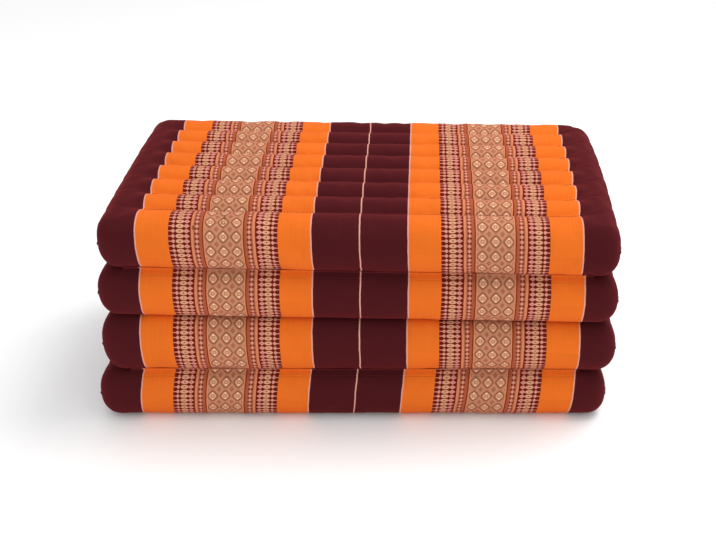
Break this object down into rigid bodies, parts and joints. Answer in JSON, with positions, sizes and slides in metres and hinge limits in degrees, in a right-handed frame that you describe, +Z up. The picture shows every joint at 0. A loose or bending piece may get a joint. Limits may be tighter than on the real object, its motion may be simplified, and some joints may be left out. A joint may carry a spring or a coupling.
{
  "type": "thai floor mattress",
  "caption": "Stuffed Thai floor mattress folded into a stack of pads, with sewn channels and a striped maroon, orange and woven diamond cover",
  "frame": {"origin": "centre of the folded stack's footprint, on the surface it rests on", "axes": "+X along the width of the mattress, to the right seen from the front; +Y from the front to the back; +Z up"},
  "size_m": [1.0224, 0.518, 0.4705],
  "materials": {
    "cover_cloth": "matt woven cotton with stripes and a woven diamond band",
    "hinge_cloth": "matt woven cotton, two layers sewn flat"
  },
  "bodies": {
    "root": {"panel_1_top": "cover_cloth", "panel_2_upper": "cover_cloth", "panel_3_lower": "cover_cloth", "panel_4_bottom": "cover_cloth", "hinge_front_upper": "hinge_cloth", "hinge_back": "hinge_cloth", "hinge_front_lower": "hinge_cloth"}
  },
  "joints": []
}
